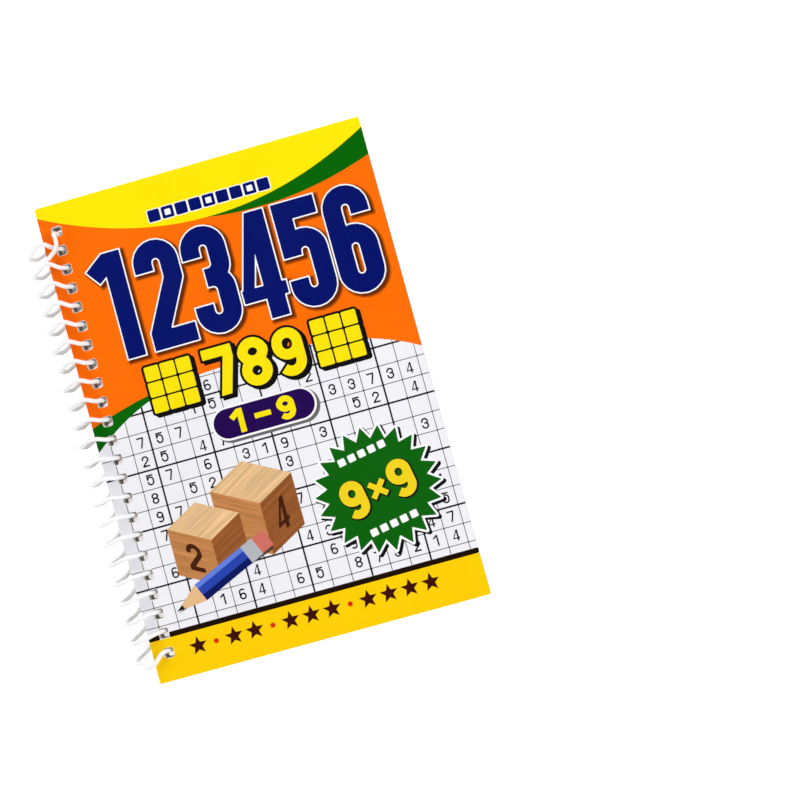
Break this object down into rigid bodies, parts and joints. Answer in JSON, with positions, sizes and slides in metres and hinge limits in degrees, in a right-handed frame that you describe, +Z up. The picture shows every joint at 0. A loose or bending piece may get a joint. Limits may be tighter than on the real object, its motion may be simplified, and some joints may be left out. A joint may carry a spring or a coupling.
{
  "type": "spiral-bound puzzle book",
  "caption": "Closed spiral-bound puzzle book: printed card cover, page block in sections and card back, all turning on one white plastic coil.",
  "frame": {"origin": "centre of the bounding box, at the lowest point of the coil", "axes": "+X from the spine to the fore edge, +Y to the head of the book, +Z up out of the front cover"},
  "size_m": [0.1546, 0.21, 0.0183],
  "materials": {
    "front_cover": "gloss laminated printed card",
    "leaves": "uncoated printed paper",
    "back_cover": "gloss laminated printed card",
    "coil": "glossy white extruded plastic"
  },
  "bodies": {
    "base": {"back_cover": "back_cover", "coil": "coil"},
    "leaves_18": {"leaves_18": "leaves"},
    "leaves_17": {"leaves_17": "leaves"},
    "leaves_16": {"leaves_16": "leaves"},
    "leaves_15": {"leaves_15": "leaves"},
    "leaves_14": {"leaves_14": "leaves"},
    "leaves_13": {"leaves_13": "leaves"},
    "leaves_12": {"leaves_12": "leaves"},
    "leaves_11": {"leaves_11": "leaves"},
    "leaves_10": {"leaves_10": "leaves"},
    "leaves_09": {"leaves_09": "leaves"},
    "leaves_08": {"leaves_08": "leaves"},
    "leaves_07": {"leaves_07": "leaves"},
    "leaves_06": {"leaves_06": "leaves"},
    "leaves_05": {"leaves_05": "leaves"},
    "leaves_04": {"leaves_04": "leaves"},
    "leaves_03": {"leaves_03": "leaves"},
    "leaves_02": {"leaves_02": "leaves"},
    "leaves_01": {"leaves_01": "leaves"},
    "front_cover": {"front_cover": "front_cover"}
  },
  "joints": [
    {"name": "turn_leaves_18", "type": "hinge", "parent": "base", "child": "leaves_18", "pos_m": [-0.06813, 0, 0.00915], "axis": [0, -1, 0], "range_deg": [0, 180]},
    {"name": "turn_leaves_17", "type": "hinge", "parent": "leaves_18", "child": "leaves_17", "pos_m": [-0.06813, 0, 0.00915], "axis": [0, -1, 0], "range_deg": [0, 180]},
    {"name": "turn_leaves_16", "type": "hinge", "parent": "leaves_17", "child": "leaves_16", "pos_m": [-0.06813, 0, 0.00915], "axis": [0, -1, 0], "range_deg": [0, 180]},
    {"name": "turn_leaves_15", "type": "hinge", "parent": "leaves_16", "child": "leaves_15", "pos_m": [-0.06813, 0, 0.00915], "axis": [0, -1, 0], "range_deg": [0, 180]},
    {"name": "turn_leaves_14", "type": "hinge", "parent": "leaves_15", "child": "leaves_14", "pos_m": [-0.06813, 0, 0.00915], "axis": [0, -1, 0], "range_deg": [0, 180]},
    {"name": "turn_leaves_13", "type": "hinge", "parent": "leaves_14", "child": "leaves_13", "pos_m": [-0.06813, 0, 0.00915], "axis": [0, -1, 0], "range_deg": [0, 180]},
    {"name": "turn_leaves_12", "type": "hinge", "parent": "leaves_13", "child": "leaves_12", "pos_m": [-0.06813, 0, 0.00915], "axis": [0, -1, 0], "range_deg": [0, 180]},
    {"name": "turn_leaves_11", "type": "hinge", "parent": "leaves_12", "child": "leaves_11", "pos_m": [-0.06813, 0, 0.00915], "axis": [0, -1, 0], "range_deg": [0, 180]},
    {"name": "turn_leaves_10", "type": "hinge", "parent": "leaves_11", "child": "leaves_10", "pos_m": [-0.06813, 0, 0.00915], "axis": [0, -1, 0], "range_deg": [0, 180]},
    {"name": "turn_leaves_09", "type": "hinge", "parent": "leaves_10", "child": "leaves_09", "pos_m": [-0.06813, 0, 0.00915], "axis": [0, -1, 0], "range_deg": [0, 180]},
    {"name": "turn_leaves_08", "type": "hinge", "parent": "leaves_09", "child": "leaves_08", "pos_m": [-0.06813, 0, 0.00915], "axis": [0, -1, 0], "range_deg": [0, 180]},
    {"name": "turn_leaves_07", "type": "hinge", "parent": "leaves_08", "child": "leaves_07", "pos_m": [-0.06813, 0, 0.00915], "axis": [0, -1, 0], "range_deg": [0, 180]},
    {"name": "turn_leaves_06", "type": "hinge", "parent": "leaves_07", "child": "leaves_06", "pos_m": [-0.06813, 0, 0.00915], "axis": [0, -1, 0], "range_deg": [0, 180]},
    {"name": "turn_leaves_05", "type": "hinge", "parent": "leaves_06", "child": "leaves_05", "pos_m": [-0.06813, 0, 0.00915], "axis": [0, -1, 0], "range_deg": [0, 180]},
    {"name": "turn_leaves_04", "type": "hinge", "parent": "leaves_05", "child": "leaves_04", "pos_m": [-0.06813, 0, 0.00915], "axis": [0, -1, 0], "range_deg": [0, 180]},
    {"name": "turn_leaves_03", "type": "hinge", "parent": "leaves_04", "child": "leaves_03", "pos_m": [-0.06813, 0, 0.00915], "axis": [0, -1, 0], "range_deg": [0, 180]},
    {"name": "turn_leaves_02", "type": "hinge", "parent": "leaves_03", "child": "leaves_02", "pos_m": [-0.06813, 0, 0.00915], "axis": [0, -1, 0], "range_deg": [0, 180]},
    {"name": "turn_leaves_01", "type": "hinge", "parent": "leaves_02", "child": "leaves_01", "pos_m": [-0.06813, 0, 0.00915], "axis": [0, -1, 0], "range_deg": [0, 180]},
    {"name": "front_cover_turn", "type": "hinge", "parent": "leaves_01", "child": "front_cover", "pos_m": [-0.06813, 0, 0.00915], "axis": [0, -1, 0], "range_deg": [0, 180]}
  ]
}
